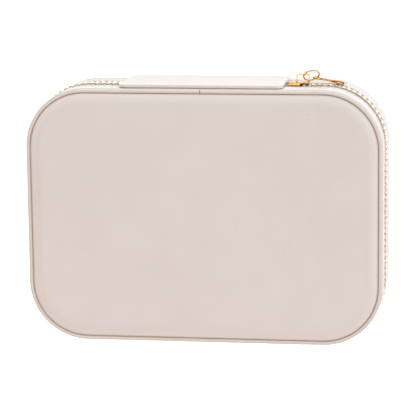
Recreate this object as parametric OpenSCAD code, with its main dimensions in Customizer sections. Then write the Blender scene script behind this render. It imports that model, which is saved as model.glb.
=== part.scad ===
// Zip-around travel jewelry case, closed: a lined base, a lid on a soft spine hinge, a metal zip and its pull.
// Millimetres, +Z up. The spine hinge is at +Y and the case opens at -Y.
// The origin is the centre of the bottom panel, which lies on the table.

/* [Case] */
// Width of the case, from side wall to side wall
case_w = 159; // [155:1:170]
// Depth of the case, from the front wall to the back wall
case_d = 114; // [112:1:120]
// Height of the base, from the table to the middle of the zip
base_h = 20; // [20:1:34]
// Height of the lid, from the middle of the zip to the top of its edge
lid_h = 20; // [18:1:24]
// Radius of the four upright corners
corner_r = 26.5; // [25:0.5:28]

/* [Walls] */
// Thickness of the synthetic leather cover with its glue layer
cover_t = 1; // [0.9:0.05:1.2]
// Thickness of the stiff board behind the cover
board_t = 1.4; // [1.2:0.1:1.4]
// Thickness of the velvet lining
lining_t = 0.6; // [0.5:0.05:0.6]
// Diameter of the rolled piping round both flat faces
piping_d = 2; // [1.8:0.1:2]
// Thickness of the padded panels below and above
panel_t = 2.2; // [2.2:0.1:2.4]
// How far the padded lid panel rises above the piping
panel_crown = 0.8; // [0.6:0.1:1]

/* [Spine] */
// Width of the spine strip that joins base and lid
spine_w = 73; // [66:1:73]
// How far the spine strip's middle lies towards +X
spine_x = -1.3; // [-2:0.1:0]
// Thickness of the spine strip
spine_t = 1.5; // [1.2:0.1:1.5]

/* [Zip] */
// Distance between two teeth on one side of the chain
tooth_pitch = 2.6; // [2.4:0.1:3]
// Width of the closed chain, both rows of teeth together
chain_w = 5.5; // [5:0.1:5.5]
// Thickness of the chain
chain_t = 2.6; // [2.4:0.1:2.6]
// Width of the fabric tape that shows on each side of the zip's middle
tape_show = 7; // [7:0.1:7.2]

/* [Pull] */
// Length of the slider
slider_l = 9.5; // [9.5:0.1:10]
// Radius of the pull ring, to the middle of its wire
ring_r = 3.5; // [3.5:0.05:3.6]
// Diameter of the ring's wire
wire_d = 0.7; // [0.6:0.05:0.7]
// Length of the pull tab beyond its eye
tab_l = 13; // [10:0.5:13]

/* [Inside] */
// Number of ring rolls
roll_count = 8; // [6:1:8]
// Height of the dividing walls above the lining
wall_h = 11.6; // [9:0.2:11.6]
// Number of necklace straps in the lid
strap_count = 3; // [2:1:3]
// Length of a necklace strap
strap_l = 25.5; // [22:0.5:26]

/* [Hidden] */

$fn = 96;
gap = 0.1;
case_h = base_h + lid_h;
half_w = case_w / 2;
half_d = case_d / 2;
// the corner centres, which every outline shares
corner_x = half_w - corner_r;
corner_y = half_d - corner_r;
// depths measured inwards from the walls' outer face
board_s = cover_t;
lining_s = board_s + board_t;
inside_s = lining_s + lining_t;
piping_s = piping_d / 2 + 0.05;
panel_s = piping_d + 0.15;
foam_s = panel_s + 0.75;
skin_t = 0.8;
// levels in the base; the lid's are the same ones counted down from its top
board_z = panel_t;
floor_z = board_z + board_t;
inside_z = floor_z + lining_t;
base_edge_z = base_h - tape_show + 1.5;
cover_edge_z = base_h - tape_show;
lid_edge_z = base_h + tape_show;
lid_roof_z = case_h - inside_z;
// zip tape and chain; the tape runs in the middle of the chain's thickness
tape_t = 0.4;
tape_s = 0.6;
tape_tuck = 2.5;
tape_reach = 1.4;
chain_s = tape_s + tape_t / 2;
slot_clear = 0.05;
tooth_l = 1.5;
parting = 0.1;
chain_start = 40;
chain_end = 38;
tape_end = 33;
end_stretch_x = 66;
end_stretch_y = 40;
path_r = corner_r - chain_s;
corner_run = PI / 2 * path_r;
runs = [corner_x - chain_start, corner_run, 2 * corner_y, corner_run, 2 * corner_x,
        corner_run, 2 * corner_y, corner_run, corner_x - chain_end];
chain_l = total(runs, len(runs));
tooth_count = floor(chain_l / tooth_pitch);
end_teeth = ceil((runs[0] + path_r * asin((end_stretch_x - corner_x) / path_r) * PI / 180) / tooth_pitch);
stop_x = 34.8;
stop_l = 1.6;
stop_t = 1.5;
// slider, with its nose beside the spine
slider_x = spine_x + spine_w / 2 + 1;
plate_t = 0.6;
plate_w = 7.8;
plate_clear = 0.25;
flange_t = 0.85;
flange_l = 5;
neck_l = 1.8;
neck_w = 1.8;
outer_y = half_d - chain_s + chain_t / 2 + plate_clear;
inner_y = half_d - chain_s - chain_t / 2 - plate_clear;
tape_slot = 0.9;
bridge_x = slider_x + 3.3;
bridge_l = slider_l - 3.3;
bridge_clear = 2.9;
bridge_t = 0.6;
bridge_w = 1;
// ring: it leans out of the flat plane, so that its wire passes through the bridge
ring_heading = 19;
ring_lean = 50;
ring_hook = [slider_x + 6.8, outer_y + plate_t + 1.7, base_h];
ring_centre = ring_hook + ring_r * [cos(ring_heading), sin(ring_heading), 0];
ring_across = [-sin(ring_heading) * cos(ring_lean), cos(ring_heading) * cos(ring_lean), sin(ring_lean)];
// tab: its eye hangs on the lower arc of the ring
eye_turn = -115;
eye = ring_centre - ring_r * cos(eye_turn) * [cos(ring_heading), sin(ring_heading), 0]
    + ring_r * sin(eye_turn) * ring_across;
tab_heading = -10.5;
eye_r = 1.2;
eye_rim = 0.8;
tab_w = 4;
tab_t = 0.8;
grip_l = 5;
grip_w = 4.5;
grip_t = 1.5;
// inside of the base
wall_t = 1.8;
ring_wall_x = -27;
cross_wall_y = -2;
divider_x = [8, 42];
roll_gap = 0.3;
roll_h = base_h - inside_z - 2.6;
roll_pitch = 2 * (half_d - inside_s) / roll_count;
roll_x0 = -half_w;
// inside of the lid
pocket_y = -12;
pocket_t = 1;
pocket_z = lid_roof_z - 5.8;
band_w = 2.5;
strap_w = 8;
strap_t = 0.6;
strap_pitch = 23;
strap_y = -46.9;
strap_z = lid_roof_z - 1.9;
anchor_w = 5;
anchor_t = 1.2;
snap_y = strap_y + strap_l - 4.5;
cap_r = 3.3;
cap_t = 1.1;
stud_r = 3;
post_r = 1.1;
post_hole_r = 1.7;

leather = [0.86, 0.80, 0.76];
leather_edge = [0.84, 0.77, 0.71];
velvet = [0.80, 0.72, 0.66];
board_grey = [0.55, 0.52, 0.48];
foam_white = [0.93, 0.92, 0.89];
gold = [0.85, 0.66, 0.38];
tape_beige = [0.82, 0.75, 0.69];

function total(v, n) = n <= 0 ? 0 : v[n - 1] + total(v, n - 1);

// Plan outline of the case, s inside the walls' outer face
module plan(s) {
    r = corner_r - s;
    square([2 * (half_w - s), 2 * corner_y], center = true);
    square([2 * corner_x, 2 * (half_d - s)], center = true);
    for (x = [-corner_x, corner_x], y = [-corner_y, corner_y])
        translate([x, y]) circle(r);
}

// Solid block with the plan outline between two levels
module slab(s, z0, z1) {
    translate([0, 0, z0]) linear_extrude(z1 - z0) plan(s);
}

// Ring of wall between two depths and two levels
module wall_ring(s0, s1, z0, z1) {
    difference() {
        slab(s0, z0, z1);
        slab(s1, z0 - 1, z1 + 1);
    }
}

// Turns a piece of the base over, onto the lid's top
module as_lid() {
    translate([0, 0, case_h]) mirror([0, 0, 1]) children();
}

module board_tray(edge_z) {
    color(board_grey) difference() {
        slab(board_s, board_z, edge_z);
        slab(lining_s, floor_z, edge_z + 1);
    }
}

// The cover is thinned near the zip, where the tape lies behind it
module cover_band(edge_z) {
    thin_z = edge_z - tape_tuck - gap;
    color(leather) difference() {
        slab(0, board_z, edge_z);
        slab(cover_t, board_z - 1, thin_z + 0.01);
        slab(tape_s, thin_z, edge_z + 1);
    }
}

module lining_tray(edge_z) {
    color(velvet) difference() {
        slab(lining_s, floor_z, edge_z);
        slab(inside_s, inside_z, edge_z + 1);
    }
}

// Round cord along the edge of a flat face, with a butt joint in the middle of the back
module piping(joint) {
    r = piping_d / 2;
    turn_r = corner_r - piping_s;
    x = corner_x;
    y = half_d - piping_s;
    side = half_w - piping_s;
    color(leather_edge) translate([0, 0, r + gap]) {
        for (sx = [-1, 1]) {
            translate([sx * (x + joint) / 2, y, 0]) rotate([0, 90, 0])
                cylinder(h = x - joint, r = r, center = true);
            translate([sx * side, 0, 0]) rotate([90, 0, 0])
                cylinder(h = 2 * corner_y, r = r, center = true);
        }
        translate([0, -y, 0]) rotate([0, 90, 0]) cylinder(h = 2 * x, r = r, center = true);
        for (k = [0:3]) {
            cx = k == 0 || k == 3 ? corner_x : -corner_x;
            cy = k < 2 ? corner_y : -corner_y;
            translate([cx, cy, 0]) rotate(90 * k)
                rotate_extrude(angle = 90) translate([turn_r, 0]) circle(r);
        }
    }
}

// Part of the zip at the closed end, where the slider parts the teeth
module end_stretch() {
    translate([tape_end, end_stretch_y, 0])
        cube([end_stretch_x - tape_end, half_d - end_stretch_y + 5, case_h]);
}

module tape_ring(z0, z1) {
    color(tape_beige) difference() {
        wall_ring(tape_s, tape_s + tape_t, z0, z1);
        translate([-tape_end, end_stretch_y, 0]) cube([2 * tape_end, half_d, case_h]);
    }
}

// Number of the run that holds a distance along the chain
function run_at(d, k = 0) = k == len(runs) - 1 || d < runs[k] ? [k, d] : run_at(d - runs[k], k + 1);

// Puts its children on the chain, with +X along it and +Y out of the case
module at_chain(d) {
    run = run_at(d);
    k = run[0];
    t = run[1];
    side = k == 1 || k == 2 ? [1, 1] : k == 3 || k == 4 ? [1, -1] : k < 7 ? [-1, -1] : [-1, 1];
    is_corner = k % 2 == 1;
    turned = 90 - 90 * floor(k / 2) - (is_corner ? 90 * t / corner_run : 0);
    along = is_corner ? 0 : t;
    centre = k == 0 ? [chain_start, corner_y] : [side[0] * corner_x, side[1] * corner_y];
    translate([centre[0] + path_r * cos(turned) + along * sin(turned),
               centre[1] + path_r * sin(turned) - along * cos(turned), base_h])
        rotate(turned - 90) children();
}

// One tooth of the base row, clamped on the tape's edge; its length runs along +X
module tooth(thickness, length) {
    half_t = thickness / 2;
    low = -chain_w / 2;
    slot = tape_t / 2 + slot_clear;
    slot_top = -tape_reach + slot_clear;
    translate([-length / 2, 0, 0]) rotate([90, 0, 90]) linear_extrude(length)
        polygon([[-half_t, low], [-slot, low], [-slot, slot_top], [slot, slot_top],
                 [slot, low], [half_t, low], [half_t, -parting], [-half_t, -parting]]);
}

module base_tooth_row(first, last) {
    color(gold) for (i = [first:last])
        at_chain((i + 0.75) * tooth_pitch) tooth(chain_t, tooth_l);
}

module lid_tooth_row(first, last) {
    color(gold) for (i = [first:last])
        at_chain((i + 0.25) * tooth_pitch + gap) mirror([0, 0, 1]) tooth(chain_t, tooth_l);
}

module stop_pair(flip) {
    color(gold) for (sx = [-1, 1])
        translate([sx * stop_x, half_d - chain_s, base_h])
            mirror([0, 0, flip]) tooth(stop_t, stop_l);
}

// ---- base ----

module base_shell() { board_tray(base_edge_z); }

module base_cover() { cover_band(cover_edge_z); }

module base_lining() { lining_tray(base_edge_z); }

module base_piping() { piping(gap); }

module base_panel() {
    color(leather) difference() {
        slab(panel_s, 0, panel_t);
        slab(foam_s, skin_t, panel_t + 1);
    }
}

module base_foam() { color(foam_white) slab(foam_s, skin_t, panel_t); }

module base_zip_tape() { tape_ring(cover_edge_z - tape_tuck, base_h - tape_reach); }

module base_zip_teeth() { base_tooth_row(end_teeth, tooth_count - 1); }

module base_zip_end_teeth() { base_tooth_row(0, end_teeth - 1); }

module base_zip_stops() { stop_pair(0); }

module ring_tray_wall() {
    y = half_d - inside_s;
    color(velvet) translate([ring_wall_x - wall_t / 2, -y, inside_z]) cube([wall_t, 2 * y, wall_h]);
}

module tray_cross_wall() {
    x0 = ring_wall_x + wall_t / 2;
    color(velvet) translate([x0, cross_wall_y - wall_t / 2, inside_z])
        cube([half_w - inside_s - x0, wall_t, wall_h]);
}

module tray_divider(i) {
    y0 = cross_wall_y + wall_t / 2;
    color(velvet) translate([divider_x[i] - wall_t / 2, y0, inside_z])
        cube([wall_t, half_d - inside_s - y0, wall_h]);
}

// Padded roll with a round top, cut to the lining's corner where it meets it
module ring_roll(i) {
    r = (roll_pitch - roll_gap) / 2;
    y = half_d - inside_s - (i - 0.5) * roll_pitch;
    length = ring_wall_x - wall_t / 2 - roll_x0;
    round_top = [for (a = [0:15:180]) [r * cos(a), roll_h - r + r * sin(a)]];
    color(velvet) intersection() {
        translate([roll_x0, y, inside_z]) rotate([90, 0, 90]) linear_extrude(length)
            polygon(concat([[-r, 0], [r, 0]], round_top));
        slab(inside_s + gap, inside_z - 1, base_h);
    }
}

module spine_cover() {
    z0 = board_z + 0.8;
    color(leather) translate([spine_x - spine_w / 2, half_d, z0]) cube([spine_w, spine_t, case_h - 2 * z0]);
}

module spine_lining() {
    color(velvet) translate([spine_x - spine_w / 2, half_d - inside_s, base_edge_z])
        cube([spine_w, lining_t, lid_edge_z - base_edge_z]);
}

// ---- lid ----

module lid_shell() { as_lid() board_tray(case_h - lid_edge_z - 0.5); }

module lid_cover() { as_lid() cover_band(case_h - lid_edge_z); }

module lid_lining() { as_lid() lining_tray(case_h - lid_edge_z); }

module lid_piping() { as_lid() piping(0.2); }

// The pad rises in two low steps towards the middle of the panel
module pad(s, z0, rise) {
    slab(s, z0, case_h - 0.5);
    slab(s + 1, case_h - 0.5, case_h + rise / 2);
    slab(s + 4, case_h - 0.5, case_h + rise);
}

module lid_panel() {
    color(leather) difference() {
        pad(panel_s, case_h - panel_t, panel_crown);
        slab(foam_s, case_h - panel_t - 1, case_h - 1);
    }
}

module lid_foam() { color(foam_white) slab(foam_s, case_h - panel_t, case_h - 1); }

module lid_tape_ring() { tape_ring(base_h + tape_reach, lid_edge_z + tape_tuck); }

module lid_zip_tape() {
    color(tape_beige) difference() {
        lid_tape_ring();
        end_stretch();
    }
}

module lid_zip_end_tape() {
    color(tape_beige) intersection() {
        lid_tape_ring();
        end_stretch();
    }
}

module lid_zip_teeth() { lid_tooth_row(end_teeth, tooth_count - 1); }

module lid_zip_end_teeth() { lid_tooth_row(0, end_teeth - 1); }

module lid_zip_stops() { stop_pair(1); }

// Gathered pocket along the spine side of the lid, open towards the front
module elastic_pocket() {
    color(velvet) difference() {
        slab(inside_s + gap, pocket_z, lid_roof_z);
        slab(inside_s + gap + pocket_t, pocket_z + pocket_t, lid_roof_z + 1);
        translate([-half_w, -half_d, 0]) cube([case_w, half_d + pocket_y, case_h]);
    }
}

module pocket_elastic() {
    x = half_w - inside_s - 2;
    color(velvet) translate([-x, pocket_y - band_w, pocket_z - gap])
        cube([2 * x, band_w, pocket_t + 2 * gap]);
}

function strap_x(i) = (i - 1) * strap_pitch;

module strap_anchor() {
    x0 = strap_x(1) - strap_w;
    x1 = strap_x(strap_count) + strap_w;
    color(velvet) translate([x0, strap_y - anchor_w, lid_roof_z - anchor_t])
        cube([x1 - x0, anchor_w, anchor_t]);
}

module snap_studs() {
    color(gold) for (i = [1:strap_count]) translate([strap_x(i), snap_y, 0]) {
        translate([0, 0, lid_roof_z - 0.7]) cylinder(h = 0.7, r = stud_r);
        translate([0, 0, strap_z + gap]) cylinder(h = lid_roof_z - strap_z - 0.3, r = post_r);
    }
}

module necklace_strap(i) {
    color(velvet) translate([strap_x(i), 0, strap_z]) difference() {
        translate([-strap_w / 2, strap_y + gap, 0]) cube([strap_w, strap_l, strap_t]);
        translate([0, snap_y, -1]) cylinder(h = 3, r = post_hole_r);
    }
}

module snap_cap(i) {
    color(gold) translate([strap_x(i), snap_y, strap_z - cap_t]) cylinder(h = cap_t, r = cap_r);
}

// ---- slider and pull ----

// Plate of the slider, square at the nose and round at the tail
module slider_plate(y0) {
    r = plate_w / 2;
    translate([slider_x, y0 + plate_t, base_h]) rotate([90, 0, 0]) linear_extrude(plate_t) {
        translate([0, -r]) square([slider_l - r, plate_w]);
        translate([slider_l - r, 0]) circle(r);
    }
}

// The two plates, the neck that parts the teeth and the flanges that guard the tape
module slider_body() {
    reach = (chain_t + 2 * plate_clear - tape_slot) / 2;
    r = plate_w / 2;
    color(gold) {
        slider_plate(outer_y);
        slider_plate(inner_y - plate_t);
        translate([slider_x, inner_y - 0.1, base_h - neck_w / 2])
            cube([neck_l, outer_y - inner_y + 0.2, neck_w]);
        for (z = [-r, r - flange_t], y = [inner_y - 0.1, outer_y - reach])
            translate([slider_x + 0.4, y, base_h + z]) cube([flange_l, reach + 0.1, flange_t]);
    }
}

// Arch on the outer plate that holds the ring
module slider_bridge() {
    top = bridge_clear + bridge_t;
    bevel = 0.5;
    inner_l = bridge_l - 2 * bridge_t;
    color(gold) translate([bridge_x, outer_y + plate_t, base_h - bridge_w / 2])
        linear_extrude(bridge_w) difference() {
            polygon([[0, 0], [bridge_l, 0], [bridge_l, top - bevel], [bridge_l - bevel, top],
                     [bevel, top], [0, top - bevel]]);
            translate([bridge_t, -1]) square([inner_l, bridge_clear + 1]);
        }
}

module pull_ring() {
    color(gold) translate(ring_centre) rotate([0, 0, ring_heading]) rotate([ring_lean, 0, 0])
        rotate_extrude() translate([ring_r, 0]) circle(wire_d / 2, $fn = 48);
}

// Flat tab: eye, stem and a thicker grip at the free end; it lies upright beside the chain
module pull_tab() {
    outer_r = eye_r + eye_rim;
    color(gold) translate(eye) rotate([90, 0, tab_heading]) {
        translate([0, 0, -tab_t / 2]) linear_extrude(tab_t) difference() {
            union() {
                circle(outer_r);
                translate([0, -tab_w / 2 + 0.4]) square([tab_l, tab_w - 0.8]);
            }
            circle(eye_r);
        }
        translate([tab_l - grip_l, -grip_w / 2, -grip_t / 2]) cube([grip_l, grip_w, grip_t]);
    }
}

base_shell();
base_cover();
base_foam();
base_panel();
base_piping();
base_lining();
base_zip_tape();
base_zip_teeth();
base_zip_end_teeth();
base_zip_stops();
ring_tray_wall();
tray_cross_wall();
tray_divider(0);  // tray_divider_1
tray_divider(1);  // tray_divider_2
spine_cover();
spine_lining();
for (i = [1:roll_count])
    ring_roll(i);
lid_shell();
lid_cover();
lid_foam();
lid_panel();
lid_piping();
lid_lining();
lid_zip_tape();
lid_zip_teeth();
lid_zip_end_tape();
lid_zip_end_teeth();
lid_zip_stops();
elastic_pocket();
pocket_elastic();
strap_anchor();
snap_studs();
for (i = [1:strap_count]) {
    necklace_strap(i);
    snap_cap(i);
}
slider_body();
slider_bridge();
pull_ring();
pull_tab();
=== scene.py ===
from math import asin, cos, exp, hypot, pi, radians, sin

import bmesh
import bpy
import numpy as np
from mathutils import Matrix, Vector, noise


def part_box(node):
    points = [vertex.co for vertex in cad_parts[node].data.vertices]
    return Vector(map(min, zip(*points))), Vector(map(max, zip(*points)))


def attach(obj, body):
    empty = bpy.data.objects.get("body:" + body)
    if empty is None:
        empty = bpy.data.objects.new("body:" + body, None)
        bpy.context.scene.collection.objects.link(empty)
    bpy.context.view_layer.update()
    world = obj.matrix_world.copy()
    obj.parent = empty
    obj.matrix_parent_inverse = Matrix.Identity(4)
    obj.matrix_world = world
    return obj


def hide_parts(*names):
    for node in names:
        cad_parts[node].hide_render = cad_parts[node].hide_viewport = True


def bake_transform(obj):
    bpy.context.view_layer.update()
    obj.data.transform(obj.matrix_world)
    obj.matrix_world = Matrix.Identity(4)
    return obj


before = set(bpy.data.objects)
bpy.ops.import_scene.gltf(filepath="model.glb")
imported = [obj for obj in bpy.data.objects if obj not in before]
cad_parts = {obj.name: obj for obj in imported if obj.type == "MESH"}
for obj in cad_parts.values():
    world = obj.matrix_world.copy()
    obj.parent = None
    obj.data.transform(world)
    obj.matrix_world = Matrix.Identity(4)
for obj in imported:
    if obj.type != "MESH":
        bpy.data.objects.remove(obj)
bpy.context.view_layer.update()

MM = 0.001
scene = bpy.context.scene


# ---- places and sizes, in millimetres, from the CAD nodes ----


def box_mm(node):
    """Lowest and highest corners of a CAD node."""
    low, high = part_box(node)
    return [c / MM for c in low], [c / MM for c in high]


def centre_mm(node):
    """Middle and half sizes of a CAD node's box."""
    low, high = box_mm(node)
    return [(a + b) / 2 for a, b in zip(low, high)], [(b - a) / 2 for a, b in zip(low, high)]


(_, _, FACE_Z), (HALF_W, HALF_D, BASE_HEM_Z) = box_mm("base_cover")
(_, _, LID_HEM_Z), (_, _, LID_FACE_Z) = box_mm("lid_cover")
_, (_, _, BASE_EDGE_Z) = box_mm("base_shell")
(_, _, LID_EDGE_Z), _ = box_mm("lid_shell")
CASE_H = LID_FACE_Z + FACE_Z
ZIP_Z = (BASE_HEM_Z + LID_HEM_Z) / 2
CORNER_R = 26.5
CORNER_X = HALF_W - CORNER_R
CORNER_Y = HALF_D - CORNER_R
OUTLINE_L = 4 * CORNER_X + 4 * CORNER_Y + 2 * pi * CORNER_R
# depths measured inwards from the walls' outer face
BOARD_S = 1.0
LINING_S = 2.4
INSIDE_S = 3.0
PANEL_S = 2.15
PIPING_S = 1.05
TAPE_S = 0.6
CHAIN_S = 0.8
SEAM_IN = 2.1  # from a leather edge to its row of stitches
# places along the outline, clockwise from the middle of the back
PIPING_JOINT = -0.8
TAPE_END = 33.0
STOP_PATH = 34.8
HEM_SEAM_END = 37.5
CHAIN_START = 40.0
STRETCH_X = 66.0
STRETCH_END = CORNER_X + CORNER_R * asin((STRETCH_X - CORNER_X) / (CORNER_R - CHAIN_S))


# ---- shapes ----


def smooth_step(t):
    t = min(max(t, 0.0), 1.0)
    return t * t * (3 - 2 * t)


def ripple(x, y, z, scale, seed=0.0):
    """Smooth noise between -1 and 1 at a place in millimetres."""
    return noise.noise(Vector((x / scale + seed, y / scale - seed, z / scale + 2 * seed)))


def circle(count):
    """Angles evenly round a circle."""
    return [2 * pi * k / count for k in range(count)]


def strip(a, b):
    """Faces between two lines of vertex numbers."""
    return [[a[k], a[k + 1], b[k + 1], b[k]] for k in range(len(a) - 1)]


def shifted(points, right, up):
    """The same points moved. What follows a point's two measures stays."""
    return [(right + a, up + b, *rest) for a, b, *rest in points]


def runs(r):
    """Lengths of the outline's straights and corners, clockwise from the middle of the back."""
    corner = pi / 2 * r
    return [CORNER_X, corner, 2 * CORNER_Y, corner, 2 * CORNER_X, corner, 2 * CORNER_Y, corner, CORNER_X]


def on_outline(path, s=0.0):
    """Point and outward direction on the outline s inside the walls, path mm from the middle of the back."""
    r = CORNER_R - s
    lengths = runs(r)
    k = 0
    while k < 8 and path > lengths[k] + 1e-9:
        path -= lengths[k]
        k += 1
    turned = radians(90 - 90 * (k // 2)) - (path / r if k % 2 else 0)
    along = 0 if k % 2 else path
    sx = -1 if k > 4 else 1
    sy = -1 if 2 < k < 7 else 1
    cx = 0 if k == 0 else sx * CORNER_X
    nx, ny = cos(turned), sin(turned)
    return cx + r * nx + along * ny, sy * CORNER_Y + r * ny - along * nx, nx, ny


def stations(first=0.0, last=OUTLINE_L, step=3.0, turn=4.5):
    """Distances along the outline: coarse on the straights, finer round the corners."""
    found, start = [], 0.0
    for k, length in enumerate(runs(CORNER_R)):
        count = round(90 / turn) if k % 2 else max(1, round(length / step))
        found += [start + length * i / count for i in range(count)]
        start += length
    inner = [d for d in found if first + 0.4 < d < last - 0.4]
    return [first] + inner + ([last] if last < OUTLINE_L - 1e-6 else [])


def new_object(name, data):
    obj = bpy.data.objects.new(name, data)
    scene.collection.objects.link(obj)
    return obj


def evaluated(obj):
    """The object with its modifiers worked out."""
    return obj.evaluated_get(bpy.context.evaluated_depsgraph_get())


def paint_light_and_shade(mesh, values):
    """Paints light and shade onto a surface for the material: painted shade where a value is above 0, a
    painted highlight where it is below 0.
    """
    tone = mesh.attributes.get("tone") or mesh.attributes.new("tone", "FLOAT", "POINT")
    tone.data.foreach_set("value", values)


class Shape:
    """Vertices in millimetres and their faces, gathered part by part into one piece."""

    def __init__(self):
        self.verts, self.faces, self.uvs, self.slots, self.painted_light_values = [], [], [], [], []

    def add(self, verts, faces, uvs, slot=0, painted_light_values=None):
        first = len(self.verts)
        self.verts += [tuple(v) for v in verts]
        self.painted_light_values += painted_light_values or [0.0] * len(verts)
        self.faces += [[first + i for i in f] for f in faces]
        self.uvs += uvs
        self.slots += [slot] * len(faces)

    def loft(self, rows, ring=False, slot=0, painted_light_values=None):
        """A skin over rows of points, each a closed loop. In a ring the last row joins the first,
        and otherwise both are filled."""
        n, m = len(rows), len(rows[0])
        us = run_lengths([row[0] for row in rows], ring)
        vs = run_lengths(rows[n // 2], True)
        faces, uvs = [], []
        for i in range(n if ring else n - 1):
            for j in range(m):
                i1, j1 = (i + 1) % n, (j + 1) % m
                faces.append([i * m + j, i1 * m + j, i1 * m + j1, i * m + j1])
                uvs.append([(us[i], vs[j]), (us[i + 1], vs[j]), (us[i + 1], vs[j + 1]), (us[i], vs[j + 1])])
        for i in () if ring else (0, n - 1):
            faces.append([i * m + j for j in range(m)])
            uvs.append([(us[i], vs[j]) for j in range(m)])
        painted_light_values = [t for row in painted_light_values or [] for t in row]
        self.add([p for row in rows for p in row], faces, uvs, slot, painted_light_values)
        return self

    def piece(self, name, materials, sharp=50):
        """The finished object. Edges that turn by more than sharp degrees stay crisp."""
        mesh = bpy.data.meshes.new(name)
        mesh.from_pydata([[c * MM for c in v] for v in self.verts], [], self.faces)
        for m in materials:
            mesh.materials.append(m)
        mesh.polygons.foreach_set("material_index", self.slots)
        layer = mesh.uv_layers.new(name="UVMap")
        layer.data.foreach_set("uv", [c for face in self.uvs for uv in face for c in uv])
        paint_light_and_shade(mesh, self.painted_light_values)
        bm = bmesh.new()
        bm.from_mesh(mesh)
        bmesh.ops.recalc_face_normals(bm, faces=bm.faces)
        for f in bm.faces:
            f.smooth = True
        for e in bm.edges:
            e.smooth = len(e.link_faces) == 2 and e.calc_face_angle(0) < radians(sharp)
        bm.to_mesh(mesh)
        bm.free()
        return new_object(name, mesh)


def run_lengths(points, wrap):
    """Distance along a line of points, in metres, with one more at the end if it is a closed loop."""
    line = [Vector(p) for p in points]
    if wrap:
        line.append(line[0])
    found = [0.0]
    for a, b in zip(line, line[1:]):
        found.append(found[-1] + (b - a).length * MM)
    return found


def place(obj, body, node):
    """Puts a finished piece on its body, in place of its CAD node."""
    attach(obj, body)
    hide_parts(node)
    return obj


def bend(obj, node):
    """Bakes a finished piece's place into its mesh and puts it in place of its CAD node, on no body."""
    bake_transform(obj)
    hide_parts(node)


def wall_loft(shape, profile, stops, ring=True, painted_light_values=None, wobble=0.0, seed=0.0):
    """Carries a closed profile of (depth, height) round the case."""
    rows = []
    for d in stops:
        x, y, nx, ny = on_outline(d)
        row = []
        for s, z in profile:
            s -= wobble * ripple(x, y, z, 14, seed)
            row.append((x - s * nx, y - s * ny, z))
        rows.append(row)
    shape.loft(rows, ring, painted_light_values=painted_light_values and [painted_light_values] * len(rows))


class Plan:
    """A rounded rectangle filled with a regular grid, whose border is one loop."""

    def __init__(self, half_u, half_v, radius, cols, rows, turns):
        self.half_u, self.half_v, self.radius = half_u, half_v, radius
        self.cols, self.rows, self.turns = cols, rows, turns

    def columns(self, s):
        """Each column's u and its upper end, s inside the outline."""
        r = self.radius - s
        cu, cv = self.half_u - self.radius, self.half_v - self.radius
        arc = [pi / 2 * i / self.turns for i in range(1, self.turns + 1)]
        right = [(cu + r * sin(a), cv + r * cos(a)) for a in arc]
        straight = [(-cu + 2 * cu * i / self.cols, cv + r) for i in range(self.cols + 1)]
        return [(-u, v) for u, v in reversed(right)] + straight + right

    def grid(self, s):
        return [[(u, -v + 2 * v * j / self.rows) for j in range(self.rows + 1)] for u, v in self.columns(s)]

    def border(self):
        """Places (column, row) round the grid's edge, in order."""
        last, top = self.cols + 2 * self.turns, self.rows
        return ([(i, 0) for i in range(last)] + [(last, j) for j in range(top)]
                + [(i, top) for i in range(last, 0, -1)] + [(0, j) for j in range(top, 0, -1)])

    def solid(self, profile, turn=lambda u, v, h: (u, v, h), lift_last=None, painted_light_values=None):
        """Closed solid: a filled face at both ends of a profile of (depth, height), and its rim between them.
        turn makes a point in millimetres from (u, v, height), and lift_last raises the last face's points."""
        border, stride, last = self.border(), self.rows + 1, len(profile) - 1
        verts, faces, flat, tone, rings = [], [], [], [], []
        for k, ((s, h), t) in enumerate(zip(profile, painted_light_values or [0.0] * len(profile))):
            grid, first = self.grid(s), len(verts)
            if 0 < k < last:
                ring = [first + i for i in range(len(border))]
                for u, v in (grid[i][j] for i, j in border):
                    verts.append(turn(u, v, h))
                    flat.append(((u + 0.7 * h) * MM, (v + 0.7 * h) * MM))
                tone += [t] * len(border)
            else:
                ring = [first + i * stride + j for i, j in border]
                for u, v in (p for column in grid for p in column):
                    verts.append(turn(u, v, h + (lift_last(u, v) if k and lift_last else 0.0)))
                    flat.append((u * MM, v * MM))
                tone += [0.0] * (len(verts) - first)
                for i in ring:
                    tone[i] = t
                for a in (first + i * stride + j for i in range(len(grid) - 1) for j in range(self.rows)):
                    faces.append([a, a + stride, a + stride + 1, a + 1])
            rings.append(ring)
        for a, b in zip(rings, rings[1:]):
            faces += strip(a + a[:1], b + b[:1])
        shape = Shape()
        shape.add(verts, faces, [[flat[i] for i in f] for f in faces], painted_light_values=tone)
        return shape


def each(value, i):
    """The value at point i, where one number may stand for every point."""
    return value[i] if hasattr(value, "__len__") else value


def tube(shape, centres, sides, radius, slot=0, up=(0, 0, 1)):
    """Round thread or wire along points; radius may be one number or one for each point."""
    pts = [Vector(c) for c in centres]
    rows = []
    for i, p in enumerate(pts):
        ahead = (pts[min(i + 1, len(pts) - 1)] - pts[max(i - 1, 0)]).normalized()
        side = ahead.cross(Vector(up)).normalized()
        over = side.cross(ahead)
        rows.append([p + each(radius, i) * (cos(t) * side + sin(t) * over) for t in circle(sides)])
    shape.loft(rows, slot=slot)


def stitches(shape, point_at, length, stitch=2.5, gap=0.5, radius=0.2):
    """A row of single stitches. point_at(distance) gives a place on the surface and the way out of it."""
    count = max(1, int(length // (stitch + gap)))
    pitch = length / count
    depth = (-0.9, 0.25, 0.6, 0.25, -0.9)
    thick = (0.45, 0.95, 1.0, 0.95, 0.45)
    for i in range(count):
        line = []
        for k in range(5):
            p, out = point_at(i * pitch + gap / 2 + (pitch - gap) * k / 4)
            line.append(Vector(p) + Vector(out) * radius * depth[k])
        tube(shape, line, 6, [radius * t for t in thick], 1, up=out)


def stitch_row(shape, start, ahead, out, length, **sizes):
    """A straight row of stitches."""
    stitches(shape, lambda d: (Vector(start) + d * Vector(ahead), out), length, **sizes)


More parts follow.
